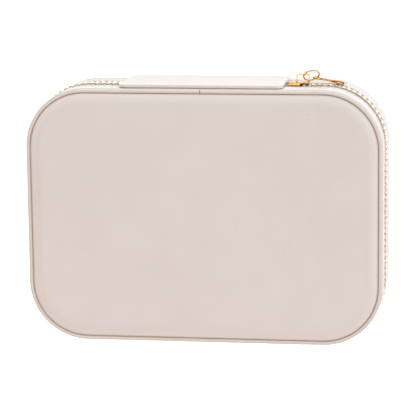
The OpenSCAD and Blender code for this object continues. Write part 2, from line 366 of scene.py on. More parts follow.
def lathe(shape, profile, top):
    """Turned part about an upright axis: a profile of (radius, depth) below the top point."""
    x, y, z = top
    shape.loft([[(x + r * cos(a), y + r * sin(a), z - h) for a in circle(32)] for r, h in profile])


def bevelled_plate(shape, outline, thickness, bevel, turn):
    """Flat plate with rounded edges from a convex outline of (u, v), taken into the case's frame by turn."""
    pts = [Vector(p) for p in outline]
    ahead = pts[1:] + pts[:1]
    sign = 1 if sum(p.cross(q) for p, q in zip(pts, ahead)) > 0 else -1
    inward = []
    for before, p, after in zip(pts[-1:] + pts, pts, ahead):
        a, b = (p - before).normalized(), (after - p).normalized()
        na, nb = Vector((-a.y, a.x)) * sign, Vector((-b.y, b.x)) * sign
        mid = (na + nb).normalized()
        inward.append(mid / max(0.5, mid.dot(na)))
    steps = 3
    rows = []
    for top in (-1, 1):
        for k in range(steps + 1):
            a = pi / 2 * (k if top > 0 else steps - k) / steps
            inset = bevel * (1 - cos(a))
            h = (thickness / 2 - bevel + bevel * sin(a)) * top
            rows.append([turn(p.x + inset * m.x, p.y + inset * m.y, h) for p, m in zip(pts, inward)])
    shape.loft(rows)


CLOTH_SCALE = 20.0  # the cloth solver works on a copy this many times larger
CLOTH_FRAMES = 20


def puffed(obj, pressure, cap, pinned=None):
    """How far cloth with inner pressure moves each point of a piece, in millimetres, up to about cap."""
    mesh = obj.data.copy()
    mesh.transform(Matrix.Scale(CLOTH_SCALE, 4))
    copy = new_object(obj.name + "_sim", mesh)
    rest = np.array([v.co for v in mesh.vertices])
    settings = copy.modifiers.new("cloth", "CLOTH").settings
    settings.quality = 5
    settings.tension_stiffness = 12
    settings.compression_stiffness = 12
    settings.bending_stiffness = 0.6
    settings.use_pressure = True
    settings.uniform_pressure_force = pressure
    settings.effector_weights.gravity = 0
    if pinned is not None:
        group = copy.vertex_groups.new(name="pin")
        group.add([int(i) for i in pinned], 1.0, "REPLACE")
        settings.vertex_group_mass = "pin"
    for f in range(1, CLOTH_FRAMES + 1):
        scene.frame_set(f)
    done = evaluated(copy).to_mesh()
    moved = (np.array([v.co for v in done.vertices]) - rest) / CLOTH_SCALE / MM
    scene.frame_set(1)
    bpy.data.objects.remove(copy)
    far = np.linalg.norm(moved, axis=1)
    held = cap * np.tanh(far / cap)
    return moved * (held / np.maximum(far, 1e-6))[:, None]


# ---- materials ----


class Nodes:
    """Short names for building a node tree."""

    def __init__(self, tree, material=None):
        self.tree, self.material = tree, material

    def make(self, kind, **sockets):
        node = self.tree.nodes.new(kind)
        self.fill(node, sockets)
        return node

    def fill(self, node, sockets):
        for name, value in sockets.items():
            self.plug(node.inputs[name.replace("_", " ")], value)

    def plug(self, socket, value):
        if isinstance(value, bpy.types.NodeSocket):
            self.tree.links.new(value, socket)
        else:
            socket.default_value = value

    def place(self, stretch=(1, 1, 1), kind="Object"):
        """Where a point is on the piece, in metres."""
        source = self.make("ShaderNodeTexCoord").outputs[kind]
        return self.make("ShaderNodeMapping", Vector=source, Scale=stretch).outputs["Vector"]

    def cloth(self):
        """How far a point is along and across the piece, in metres."""
        return self.place(kind="UV")

    def noise(self, vector, scale, detail=2.0, rough=0.5):
        node = self.make("ShaderNodeTexNoise", Vector=vector, Scale=scale, Detail=detail, Roughness=rough)
        return node.outputs["Fac"]

    def cells(self, vector, scale):
        return self.make("ShaderNodeTexVoronoi", Vector=vector, Scale=scale).outputs["Distance"]

    def waves(self, vector, scale, axis):
        node = self.make("ShaderNodeTexWave", Vector=vector, Scale=scale)
        node.bands_direction = axis
        return node.outputs["Fac"]

    def span(self, value, low, high, to_low=0.0, to_high=1.0):
        return self.make("ShaderNodeMapRange", Value=value, From_Min=low, From_Max=high,
                         To_Min=to_low, To_Max=to_high).outputs["Result"]

    def math(self, kind, a, b):
        node = self.make("ShaderNodeMath")
        node.operation = kind
        self.plug(node.inputs[0], a)
        self.plug(node.inputs[1], b)
        return node.outputs[0]

    def mix(self, share, *colours):
        node = self.make("ShaderNodeMix")
        node.data_type = "RGBA"
        self.plug(node.inputs["Factor"], share)
        for name, colour in zip("AB", colours):
            self.plug(node.inputs[name], colour if isinstance(colour, bpy.types.NodeSocket) else (*colour, 1))
        return node.outputs["Result"]

    # painted light and shade on each point: above 0 painted shade, below 0 painted highlight
    def tone(self):
        node = self.make("ShaderNodeAttribute")
        node.attribute_name = "tone"
        return node.outputs["Fac"]

    def bump(self, height, distance, strength, **under):
        return self.make("ShaderNodeBump", Height=height, Distance=distance, Strength=strength,
                         **under).outputs["Normal"]

    def finish(self, **sockets):
        """Sets the shader's sockets and gives back the material."""
        self.fill(self.tree.nodes["Principled BSDF"], sockets)
        return self.material


def new_material(name):
    m = bpy.data.materials.new(name)
    m.use_nodes = True
    return Nodes(m.node_tree, m)


def shade(colour, share):
    return tuple(c * share for c in colour)


def leather(name, colour, crease, grain=1.0, rough=0.46):
    """Synthetic leather: fine pebble, soft random colour changes, small specks, painted shade in creases and
    a painted highlight on edges.
    """
    n = new_material(name)
    place_at = n.place()
    cloud = n.span(n.noise(place_at, 24, 3), 0.3, 0.7)
    base = n.mix(cloud, shade(colour, 0.985), shade(colour, 1.015))
    pebble = n.cells(place_at, 1500)
    base = n.mix(n.span(pebble, 0.0, 0.6, 0.0, 0.16), base, shade(colour, 0.9))
    speck = n.span(n.noise(place_at, 700, 1), 0.80, 0.82, 0.0, 0.45)
    base = n.mix(speck, base, shade(crease, 0.9))
    # painted shade: the crease brown where a point's painted light value is above 0; painted highlight: paler
    # leather where it is below 0
    base = n.mix(n.span(n.tone(), 0.0, 1.0), base, crease)
    base = n.mix(n.span(n.tone(), 0.0, -1.0), base, tuple(min(1.0, c * 1.1 + 0.035) for c in colour))
    fine = n.bump(n.noise(place_at, 5200, 2), 0.00002, 0.35 * grain)
    bumps = n.bump(n.math("ADD", pebble, n.noise(place_at, 900, 3)), 0.00005, 0.3 * grain, Normal=fine)
    gloss = n.span(n.noise(place_at, 90, 3), 0.3, 0.7, rough - 0.04, rough + 0.05)
    return n.finish(Base_Color=base, Roughness=gloss, Normal=bumps, Coat_Weight=0.12, Coat_Roughness=0.38)


def velvet(name, colour, scale=1.0):
    """Short pile: soft sheen, and patches where the pile leans another way."""
    n = new_material(name)
    lean = n.span(n.noise(n.place((1, 1.6, 1)), 42 * scale, 4, 0.6), 0.35, 0.65)
    pile = n.noise(n.place(), 2600, 3, 0.7)
    base = n.mix(lean, shade(colour, 0.88), shade(colour, 1.06))
    base = n.mix(n.span(pile, 0.3, 0.75, 0.0, 0.35), base, shade(colour, 0.72))
    # painted shade: darker velvet where a point's painted light value is above 0
    base = n.mix(n.span(n.tone(), 0.0, 1.0), base, shade(colour, 0.45))
    return n.finish(Base_Color=base, Roughness=0.92, Normal=n.bump(pile, 0.00012, 0.6), Sheen_Weight=0.55,
                    Sheen_Roughness=0.35, Sheen_Tint=(1.0, 0.93, 0.87, 1), Specular_IOR_Level=0.2)


def woven_tape(name, colour):
    """Zip tape: fine twill ribs along the tape and a herringbone across them."""
    n = new_material(name)
    twill = n.math("ADD", n.waves(n.cloth(), 900, "X"), n.waves(n.cloth(), 700, "DIAGONAL"))
    weave = n.math("MULTIPLY", twill, n.waves(n.cloth(), 420, "Y"))
    base = n.mix(n.span(weave, 0.2, 1.4), shade(colour, 0.72), shade(colour, 1.05))
    base = n.mix(n.span(n.noise(n.place(), 60, 3), 0.35, 0.65, 0.0, 0.3), base, shade(colour, 0.9))
    return n.finish(Base_Color=base, Roughness=0.82, Normal=n.bump(weave, 0.00012, 0.7), Sheen_Weight=0.2)


def ribbed_elastic(name, colour):
    n = new_material(name)
    cord = n.math("MULTIPLY", n.waves(n.place(), 1100, "Y"), 0.4)
    both = n.math("ADD", n.waves(n.place(), 620, "X"), cord)
    base = n.mix(n.span(both, 0.2, 1.3), shade(colour, 0.7), colour)
    return n.finish(Base_Color=base, Roughness=0.85, Normal=n.bump(both, 0.00015, 0.7), Sheen_Weight=0.3)


def thread(name, colour):
    n = new_material(name)
    twist = n.waves(n.place(), 1500, "DIAGONAL")
    base = n.mix(n.span(twist, 0.0, 1.0), shade(colour, 0.88), colour)
    return n.finish(Base_Color=base, Roughness=0.6, Normal=n.bump(twist, 0.00006, 0.6), Sheen_Weight=0.2)


def polished_metal(name, colour, rough):
    """Plated gold: bright, with hairline scratches and faint handling marks."""
    n = new_material(name)
    hair = n.noise(n.place((1, 1, 9)), 900, 2, 0.6)
    cloud = n.noise(n.place(), 160, 3)
    base = n.mix(n.span(cloud, 0.3, 0.7), shade(colour, 0.93), colour)
    gloss = n.span(cloud, 0.3, 0.7, rough - 0.03, rough + 0.08)
    return n.finish(Base_Color=base, Metallic=1.0, Roughness=gloss, Normal=n.bump(hair, 0.00001, 0.35))


def greyboard(name):
    n = new_material(name)
    fibre = n.noise(n.place((1, 1, 4)), 380, 5, 0.7)
    base = n.mix(n.span(fibre, 0.3, 0.7), (0.22, 0.20, 0.17), (0.36, 0.33, 0.29))
    return n.finish(Base_Color=base, Roughness=0.93, Normal=n.bump(fibre, 0.0001, 0.6))


def open_foam(name):
    n = new_material(name)
    pores = n.cells(n.place(), 1300)
    base = n.mix(n.span(pores, 0.1, 0.6), (0.55, 0.53, 0.48), (0.84, 0.83, 0.79))
    return n.finish(Base_Color=base, Roughness=0.95, Normal=n.bump(pores, 0.0003, 0.8))


def white_table(name):
    n = new_material(name)
    base = n.mix(n.span(n.noise(n.place(), 30, 3), 0.3, 0.7), (0.93, 0.93, 0.93), (0.95, 0.95, 0.95))
    return n.finish(Base_Color=base, Roughness=0.9, Specular_IOR_Level=0.1, Emission_Color=(1, 1, 1, 1),
                    Emission_Strength=0.4)


# brown of the painted shade in the leather's creases, also used a little darker for its small specks
PAINTED_SHADE_AND_SPECK_BROWN = (0.40, 0.20, 0.09)
LEATHER = leather("leather", (0.665, 0.538, 0.482), PAINTED_SHADE_AND_SPECK_BROWN)
PIPING = leather("piping_leather", (0.66, 0.53, 0.46), PAINTED_SHADE_AND_SPECK_BROWN, grain=0.7, rough=0.4)
THREAD = thread("thread", (0.84, 0.73, 0.66))
VELVET = velvet("velvet", (0.50, 0.38, 0.31))
POCKET_VELVET = velvet("pocket_velvet", (0.52, 0.40, 0.33), 1.6)
STRAP_VELVET = velvet("strap_velvet", (0.48, 0.36, 0.29), 1.4)
TAPE = woven_tape("zip_tape", (0.74, 0.61, 0.53))
ELASTIC = ribbed_elastic("elastic", (0.46, 0.35, 0.29))
ZIP_GOLD = polished_metal("zip_gold", (0.92, 0.76, 0.61), 0.36)
PULL_GOLD = polished_metal("pull_gold", (0.70, 0.38, 0.14), 0.13)
BOARD = greyboard("board")
FOAM = open_foam("foam")


# ---- outside of the case ----


def cover_profile(top):
    """Depth, height and painted light value round a cover's section (above 0 painted shade, below 0 painted
    highlight): tucked under at the piping, hemmed at the zip.
    """
    # painted shade where the leather tucks under at the piping, a painted highlight on the rolled edge above
    # it
    tucked = [(BOARD_S, 0.05, 1.0), (0.6, 0.02, 1.0), (0.3, 0.1, 0.7), (0.1, 0.4, 0.1), (0.02, 0.8, -0.35),
              (0.0, 1.4, -0.1)]
    wall = [(0.0, FACE_Z + 1.4 + (top - FACE_Z - 4.6) * share, 0.0) for share in (0.25, 0.5, 0.75, 1.0)]
    # the hem: slight painted shade in the stitch groove, a painted highlight on the fold; then painted shade
    # in the gap behind the hem, by the zip tape, and on the hidden inner side
    hem = [(0.03, -2.6, 0.0), (0.09, -SEAM_IN, 0.1), (0.03, -1.6, 0.0), (-0.02, -1.0, 0.0),
           (0.0, -0.45, -0.2), (0.12, -0.12, -0.35), (0.3, 0.0, -0.2), (0.48, -0.1, 0.0)]
    back = [(0.57, -0.4, 0.1), (0.58, -2.6, 0.6), (BOARD_S, -2.8, 1.0)]
    behind = [(BOARD_S, (FACE_Z + top) / 2, 0.5)]
    return shifted(tucked, 0, FACE_Z) + wall + shifted(hem + back, 0, top) + behind


def cover(half):
    """Leather round one half's walls, with a stitched hem beside the zip."""
    lid = half == "lid"
    section = cover_profile(CASE_H - LID_HEM_Z if lid else BASE_HEM_Z)
    profile = [(s, CASE_H - z if lid else z) for s, z, _ in section]
    shape = Shape()
    # the section's painted shade and highlight go round the wall with it
    wall_loft(shape, profile, stations(step=2.6), painted_light_values=[t for _, _, t in section], wobble=0.05,
              seed=3.0 if lid else 1.0)
    row_z = LID_HEM_Z + SEAM_IN if lid else BASE_HEM_Z - SEAM_IN

    def at(d):
        x, y, nx, ny = on_outline(HEM_SEAM_END + d)
        return (x - 0.06 * nx, y - 0.06 * ny, row_z), (nx, ny, 0)

    stitches(shape, at, OUTLINE_L - 2 * HEM_SEAM_END, radius=0.1)
    place(shape.piece(half + "_cover", [LEATHER, THREAD]), half, half + "_cover")


def piping(half, gap):
    """Leather-covered cord round a flat face, its two ends meeting in the middle of the back."""
    radius, height, end = 1.0, 1.1, OUTLINE_L - gap
    inner = stations(gap, end, 2.2, 3.75)[1:-1]
    rows, painted_light_values = [], []
    for d in [gap, gap + 0.2, gap + 0.5] + inner + [end - 0.5, end - 0.2, end]:
        x, y, nx, ny = on_outline((d + PIPING_JOINT) % OUTLINE_L)
        near = min(d - gap, end - d)
        pucker = 0.018 * ripple(x, y, 0, 1.6, 5.0) + 0.02 * ripple(x, y, 0, 9, 2.0)
        r = radius * (0.95 + 0.05 * smooth_step(near / 0.5)) * (1 + pucker)
        row, tone = [], []
        for a in circle(16):
            s, h = PIPING_S - r * cos(a), height - r * sin(a)
            row.append((x - s * nx, y - s * ny, CASE_H - h if half == "lid" else h))
            # painted shade along the cord's two seams, heavier on the side towards the middle, and on its end
            # faces at the joint
            painted_seam_shade = smooth_step((abs(cos(a)) - 0.78) / 0.22) * (0.85 if cos(a) < 0 else 0.4)
            tone.append(painted_seam_shade + (0.6 if near < 0.05 else 0.0))
        rows.append(row)
        painted_light_values.append(tone)
    shape = Shape().loft(rows, painted_light_values=painted_light_values)
    place(shape.piece(half + "_piping", [PIPING]), half, half + "_piping")


CASE_PLAN = Plan(HALF_W, HALF_D, CORNER_R, 44, 40, 14)


def from_walls(x, y):
    """Depth inside the nearest straight wall; numbers or arrays."""
    return np.minimum(HALF_W - np.abs(x), HALF_D - np.abs(y))


def lid_pad():
    """Foam pad under the lid's leather: held down at the crease, blown up by cloth pressure inside,
    flat in the middle."""
    (_, _, low), (_, _, high) = box_mm("lid_panel")
    edge = CASE_H - 0.75
    rolled = [(0, -0.3), (-0.16, 0.12), (-0.17, 0.3), (-0.06, 0.52), (0.25, 0.72), (0.8, 0.84), (2.0, 0.93),
              (4.2, 1.0)]
    profile = [(PANEL_S, low)] + shifted(rolled, PANEL_S, edge)
    # painted shade in the crease at the piping, a painted highlight on the rolled rim above it
    shape = CASE_PLAN.solid(profile, painted_light_values=[1, 1, 1, 0.9, 0.5, 0.1, -0.8, -0.5, 0])
    obj = shape.piece("lid_panel_pad", [LEATHER])
    co = np.array([v.co for v in obj.data.vertices]) / MM
    crown = high - (edge + 1.0) - 0.05
    pinned = np.nonzero(co[:, 2] < edge + 0.7)[0]
    swell = np.maximum(puffed(obj, 4.0, crown, pinned)[:, 2], 0)
    swell = np.where(co[:, 2] > edge + 0.5, swell, 0)
    for v, up in zip(obj.data.vertices, swell):
        x, y, z = (c / MM for c in v.co)
        slack = 0.035 * ripple(x, y, 0, 31, 4.0) + 0.012 * ripple(x, y, 0, 9, 6.0) if z > edge + 0.9 else 0.0
        v.co.z += (float(up) + slack) * MM
    obj.data.update()
    place(obj, "lid", "lid_panel")


def base_pad():
    """Panel that the case stands on: thin pad with a rolled edge."""
    rolled = [(0, FACE_Z), (0, 1.0), (0.05, 0.6), (0.2, 0.3), (0.5, 0.1), (1.0, 0.02), (1.8, 0.0)]

    def unevenness(u, v):
        inside = smooth_step((from_walls(u, v) - 6) / 10)
        return 0.09 * inside * (0.6 + 0.4 * ripple(u, v, 0, 24, 8.0))

    # painted shade in the crease at the piping, a painted highlight on the rolled edge
    shape = CASE_PLAN.solid(shifted(rolled, PANEL_S, 0), lift_last=unevenness,
                            painted_light_values=[1, 1, 0.6, 0.1, -0.4, -0.15, 0])
    obj = place(shape.piece("base_panel_pad", [LEATHER]), "base", "base_panel")


# ---- spine ----


def spine():
    """Leather strip that joins the two halves, with folded and stitched edges."""
    (mid_x, hinge_y, mid_z), (half_w, half_t, half_h) = centre_mm("spine_cover")
    t = 2 * half_t

    def turn(u, v, h):
        bow = 0.05 * ripple(u, 0, v, 12, 7.0) if h > half_t else 0.0
        return (mid_x + u, hinge_y - half_t + h + bow, mid_z + v)

    profile = [(0.3, 0.0), (0.04, 0.04), (0.0, 0.3), (0.0, 0.42), (0.03, 0.74), (0.05, 0.8), (0.03, 0.86)]
    profile += shifted([(0.0, -0.3), (0.07, -0.1), (0.26, -0.01), (0.9, 0.0), (1.7, -0.02), (SEAM_IN, -0.08),
                        (2.5, -0.02)], 0, t)
    # painted shade where the strip lies on the wall and along the top corner of its edge face; painted
    # highlight on the edge face and just inside it
    painted_light_values = [1, 1, 0.9, -0.3, -0.9, -0.5, -0.9, -0.9, 0.6, 0.1, -0.3, -0.3, 0.0, 0.0]
    shape = Plan(half_w, half_h, 3.0, 30, 44, 6).solid(profile, turn, painted_light_values=painted_light_values)
    for sx in (-1, 1):
        start = (mid_x + sx * (half_w - SEAM_IN), hinge_y + half_t - 0.1, mid_z - half_h + 3)
        stitch_row(shape, start, (0, 0, 1), (0, 1, 0), 2 * half_h - 6)
    bend(shape.piece("spine_strip", [LEATHER, THREAD]), "spine_cover")


def spine_inside():
    """Velvet strip behind the hinge, inside the case."""
    (mid_x, mid_y, mid_z), (half_w, half_t, half_h) = centre_mm("spine_lining")
    profile = [(0.15, 0.0), (0.0, 0.15), (0.0, 2 * half_t - 0.15), (0.2, 2 * half_t)]
    plan = Plan(half_w, half_h, 1.0, 30, 18, 3)
    shape = plan.solid(profile, lambda u, v, h: (mid_x + u, mid_y + half_t - h, mid_z + v))
    bend(shape.piece("spine_lining_strip", [VELVET]), "spine_lining")


# ---- linings ----


def lining(half):
    """Velvet tray glued inside one half and turned over the board's edge."""
    lid = half == "lid"
    floor_z = 3.6
    inside_z = floor_z + 0.6
    board_edge = CASE_H - LID_EDGE_Z if lid else BASE_EDGE_Z
    over = CASE_H - LID_HEM_Z if lid else BASE_EDGE_Z + 0.55
    glued = [(LINING_S, floor_z), (LINING_S, floor_z + 0.3)]
    glued += shifted([(LINING_S, -0.4), (LINING_S, 0.02), (1.3, 0.02), (1.1, 0.1)], 0, board_edge)
    turned = shifted([(1.08, -0.25), (1.25, -0.08), (1.7, 0), (2.3, -0.02), (2.75, -0.2), (2.95, -0.6),
                      (INSIDE_S, -1.4)], 0, over)
    seen = [(INSIDE_S, (2 * over + inside_z) / 3), (INSIDE_S, (over + 2 * inside_z) / 3)]
    seen += shifted([(0, 1.2), (0.1, 0.5), (0.4, 0.12), (1.2, 0)], INSIDE_S, inside_z)
    # painted shade where the velvet meets the board and in the corner where the floor meets the wall; a faint
    # painted highlight on the roll over the edge
    painted_light_values = [1, 1, 1, 1, 1, 0.6, 0.2, 0, -0.1, -0.1, 0, 0, 0, 0, 0, 0.15, 0.45, 0.25, 0]

    def turn(u, v, h):
        return (u, v, CASE_H - h if lid else h)

    def nap(u, v):
        inside = smooth_step((from_walls(u, v) - 5) / 6)
        return 0.05 * inside * (1 + ripple(u, v, 0, 17, 1.0))

    shape = CASE_PLAN.solid(glued + turned + seen, turn, lift_last=nap, painted_light_values=painted_light_values)
    place(shape.piece(half + "_lining_tray", [VELVET]), half, half + "_lining")


# ---- zip ----


def tape_profile():
    """Thin woven band with the beaded edge that the teeth grip."""
    low, top = BASE_HEM_Z - 2.5, ZIP_Z - 1.4
    bead = [(0, -1.2), (-0.12, -0.8), (-0.14, -0.3), (0.02, 0), (0.2, 0.06), (0.38, 0), (0.54, -0.3),
            (0.52, -0.8), (0.4, -1.2)]
    return [(TAPE_S, low)] + shifted(bead, TAPE_S, top) + [(TAPE_S + 0.4, low)]


def zip_end(obj, node):
    """The lid's side of the zip near the slider, which leaves the closed chain as the lid opens; here only
    put in place of its CAD node, on no body.
    """
    bend(obj, node)


def tapes():
    end = OUTLINE_L - TAPE_END
    profile = tape_profile()
    turned_over = [(s, 2 * ZIP_Z - z) for s, z in profile]
    pieces = []
    for name, section, stops in (("base_tape", profile, stations(TAPE_END, end, 2.6)),
                                 ("lid_tape", turned_over, stations(STRETCH_END, end, 2.6)),
                                 ("lid_tape_end", turned_over, stations(TAPE_END, STRETCH_END, 1.0))):
        shape = Shape()
        wall_loft(shape, section, stops, ring=False)
        pieces.append(shape.piece(name, [TAPE]))
    place(pieces[0], "base", "base_zip_tape")
    place(pieces[1], "lid", "lid_zip_tape")
    zip_end(pieces[2], "lid_zip_end_tape")


# height over the zip's middle as on the base, half length along the chain, half thickness
TOOTH = [(-2.75, 0.50, 1.02), (-2.66, 0.66, 1.22), (-2.4, 0.75, 1.3), (-1.5, 0.75, 1.3), (-0.75, 0.72, 1.27),
         (-0.25, 0.66, 1.14), (0.0, 0.54, 0.94), (0.3, 0.49, 0.84), (0.48, 0.42, 0.7), (0.55, 0.28, 0.5)]
STOP = [(-2.75, 0.55, 0.55), (-2.6, 0.75, 0.72), (-2.2, 0.8, 0.76), (-1.2, 0.8, 0.8), (-0.4, 0.78, 0.76),
        (-0.16, 0.62, 0.6), (-0.1, 0.4, 0.4)]
PITCH = 2.6
TEETH = 160
END_TEETH = 11


def tooth(shape, path, lid, sections=TOOTH):
    """One metal tooth clamped on the tape's edge, its narrower head between the other side's teeth."""
    x, y, nx, ny = on_outline(path, CHAIN_S)
    rows = []
    for z, half_l, half_t in sections:
        cut = 0.34 * min(half_l, half_t)
        corner = [(half_l, half_t - cut), (half_l - cut, half_t)]
        side = corner + [(-a, b) for a, b in corner[::-1]]
        ring = side + [(-a, -b) for a, b in side]
        rows.append([(x + a * ny + b * nx, y - a * nx + b * ny, ZIP_Z + (-z if lid else z)) for a, b in ring])
    shape.loft(rows)


def chain():
    """Both rows of teeth, each in a long and an end part, and the stops at their ends."""
    for half, offset in (("base", 0.75 * PITCH), ("lid", 0.25 * PITCH + 0.1)):
        lid = half == "lid"
        for part, numbers in (("teeth", range(END_TEETH, TEETH)), ("end_teeth", range(END_TEETH))):
            shape = Shape()
            for i in numbers:
                tooth(shape, CHAIN_START + i * PITCH + offset, lid)
            obj = shape.piece(f"{half}_{part}", [ZIP_GOLD], 35)
            if lid and part == "end_teeth":
                zip_end(obj, "lid_zip_end_teeth")
            else:
                place(obj, half, f"{half}_zip_{part}")
        shape = Shape()
        for path in (STOP_PATH, OUTLINE_L - 2 * pi * CHAIN_S - STOP_PATH):
            tooth(shape, path, lid, STOP)
        place(shape.piece(half + "_stops", [ZIP_GOLD], 35), half, half + "_zip_stops")


# ---- slider and pull ----


def slider():
    """Two plates joined by a neck, with flanges turned in along both edges."""
    (x0, _, _), (x1, _, _) = box_mm("slider_body")
    (_, mid_y, mid_z), (_, half_y, half) = centre_mm("slider_body")
    plate, reach = 0.6, 1.2
    mouth = [(x0 + 0.1, half - 1.0), (x0 + 0.6, half - 0.15), (x0 + 1.2, half)]
    tail = [(x1 - half + half * sin(a), -half * cos(a)) for a in circle(40)[:21]]
    outline = [(x, -z) for x, z in mouth] + tail + mouth[::-1]
    neck = [(x0 + 0.05, -0.9), (x0 + 1.3, -0.8), (x0 + 1.8, 0.0), (x0 + 1.3, 0.8), (x0 + 0.05, 0.9)]
    rail = [(x0 + 0.5, -0.4), (x0 + 5.3, -0.4), (x0 + 5.3, 0.4), (x0 + 0.5, 0.4)]
    shape = Shape()

    def part(outline, thickness, bevel, y=0.0, z=0.0):
        bevelled_plate(shape, outline, thickness, bevel, lambda u, v, h: (u, mid_y + y + h, mid_z + z + v))

    for side in (-1, 1):
        part(outline, plate, 0.22, side * (half_y - plate / 2))
    part(neck, 2 * (half_y - plate) + 0.3, 0.1)
    for sz in (-1, 1):
        for side in (-1, 1):
            part(rail, reach, 0.15, side * (half_y - plate - reach / 2 + 0.2), sz * (half - 0.43))
    place(shape.piece("slider_plates", [PULL_GOLD], 35), "slider", "slider_body")


def rounded(before, corner, after, r, steps=6):
    """Points that round a corner, from r before it to r after it."""
    a, b = (before - corner).normalized() * r, (after - corner).normalized() * r
    return [corner + a * (1 - k / steps) ** 2 + b * (k / steps) ** 2 for k in range(steps + 1)]


def bar_loft(shape, centres, half_a, half_b, up, cut=0.3):
    """Rounded rectangular bar along points; up is the direction of half_b."""
    rows = []
    pts = [Vector(p) for p in centres]
    over = Vector(up)
    for i, p in enumerate(pts):
        ahead = (pts[min(i + 1, len(pts) - 1)] - pts[max(i - 1, 0)]).normalized()
        side = ahead.cross(over).normalized()
        a, b = each(half_a, i), each(half_b, i)
        c = cut * min(a, b)
        corner = [(a, b - c), (a - 0.3 * c, b - 0.3 * c), (a - c, b)]
        edge = corner + [(-u, v) for u, v in corner[::-1]]
        ring = edge + [(-u, -v) for u, v in edge]
        rows.append([p + side * u + over * v for u, v in ring])
    shape.loft(rows)


def bridge():
    """Bent strip on the outer plate that holds the ring."""
    (x0, y0, z0), (x1, y1, z1) = box_mm("slider_bridge")
    mid_z = (z0 + z1) / 2
    t = 0.3
    foot, top = y0 - 0.25, y1 - t
    bends = [Vector((x, y, mid_z)) for x, y in ((x0 + t, foot), (x0 + t, top), (x1 - t, top), (x1 - t, foot))]
    line = bends[:1] + rounded(*bends[:3], 1.1) + rounded(*bends[1:], 1.1) + bends[3:]
    shape = Shape()
    bar_loft(shape, line, t, 0.5, (0, 0, 1))
    place(shape.piece("slider_arch", [PULL_GOLD], 35), "slider", "slider_bridge")


RING_R = 3.5
WIRE_R = 0.35
RING_HEADING = radians(19)
RING_LEAN = radians(50)
TAB_HEADING = radians(-10.5)
EYE_TURN = radians(-65)


def ring_frame():
    """Centre of the pull ring and its two directions, from the slider's place."""
    (x0, _, z0), (_, y1, z1) = box_mm("slider_body")
    along = Vector((cos(RING_HEADING), sin(RING_HEADING), 0))
    level = cos(RING_LEAN)
    across = Vector((-along.y * level, along.x * level, sin(RING_LEAN)))
    hook = Vector((x0 + 6.8, y1 + 1.7, (z0 + z1) / 2))
    return hook + RING_R * along, along, across


def pull_ring():
    """Ring of round wire, its cut ends nearly closed."""
    centre, along, across = ring_frame()
    steps, cut_at, turned = 72, 62, 359
    points, radii = [], []
    for k in range(steps + 1):
        a = radians(cut_at + turned * k / steps)
        points.append(centre + RING_R * (cos(a) * along + sin(a) * across))
        radii.append(WIRE_R * (0.84, 0.97, 1.0)[min(k, steps - k, 2)])
    shape = Shape()
    tube(shape, points, 14, radii, up=along.cross(across))
    place(shape.piece("pull_ring_wire", [PULL_GOLD], 60), "ring", "pull_ring")


def pull_tab():
    """Flat tab: round eye, waisted stem and a thicker rounded grip."""
    centre, along, across = ring_frame()
    eye = centre + RING_R * (cos(EYE_TURN) * along + sin(EYE_TURN) * across)
    ahead = Vector((cos(TAB_HEADING), sin(TAB_HEADING), 0))
    side = Vector((ahead.y, -ahead.x, 0))
    up = Vector((0, 0, 1))
    rows = []
    for a in circle(36):
        out = cos(a) * ahead + sin(a) * up
        rows.append([eye + out * (1.6 + 0.392 * cos(t)) + side * 0.4 * sin(t) for t in circle(12)])
    shape = Shape().loft(rows, ring=True)
    # distance from the eye, half width, half thickness
    stem = [(1.45, 0.9, 0.36), (1.9, 1.3, 0.39), (2.8, 1.6, 0.4), (4.2, 1.55, 0.4), (5.8, 1.5, 0.4),
            (7.2, 1.6, 0.43), (8.0, 1.95, 0.6), (8.6, 2.18, 0.73), (9.4, 2.25, 0.75), (11.2, 2.25, 0.75),
            (12.3, 2.2, 0.73), (12.75, 2.02, 0.62), (12.97, 1.7, 0.42)]
    line = [eye + ahead * x for x, _, _ in stem]
    bar_loft(shape, line, [t for _, _, t in stem], [w for _, w, _ in stem], up, cut=0.55)
    place(shape.piece("pull_tab_plate", [PULL_GOLD], 40), "tab", "pull_tab")


# ---- inside of the base ----


def padded_wall(name, node, along_x):
    """Board wall wrapped in velvet: round top, sides slightly full."""
    (x0, y0, z0), (x1, y1, z1) = box_mm(node)
    first, last, low, high = (x0, x1, y0, y1) if along_x else (y0, y1, x0, x1)
    half, middle = (high - low) / 2, (low + high) / 2
    side = [(half, z0), (half, z0 + 3), (half, (z0 + z1) / 2), (half, z1 - 1.6)]
    dome = [(-half * cos(a), z1 - half + half * sin(a)) for a in circle(20)[1:10]]
    section = [(-n, z) for n, z in side] + dome + side[::-1]
    count = max(2, int((last - first) / 3))
    rows = []
    for i in range(count + 1):
        d = first + (last - first) * i / count
        full = 0.96 + 0.05 * ripple(d, middle, 0, 11, 9.0)
        rows.append([(d, middle + n * full, z) if along_x else (middle + n * full, d, z) for n, z in section])
    # painted shade at the wall's foot, where it stands in the tray
    foot = [0.4, 0.05, 0, 0]
    shape = Shape().loft(rows, painted_light_values=[foot + [0] * len(dome) + foot[::-1]] * (count + 1))
    place(shape.piece(name, [VELVET]), "base", node)


def roll_blank(node, margin):
    """A ring roll's CAD solid, drawn in a little, as an even mesh of its own."""
    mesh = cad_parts[node].data.copy()
    middle, half = centre_mm(node)
    for v in mesh.vertices:
        for k in range(3):
            v.co[k] = (middle[k] + (v.co[k] / MM - middle[k]) * (half[k] - margin) / half[k]) * MM
    obj = new_object("blank", mesh)
    remesh = obj.modifiers.new("remesh", "REMESH")
    remesh.mode = "VOXEL"
    remesh.voxel_size = 0.0014
    done = bpy.data.meshes.new_from_object(evaluated(obj))
    bpy.data.objects.remove(obj)
    return done


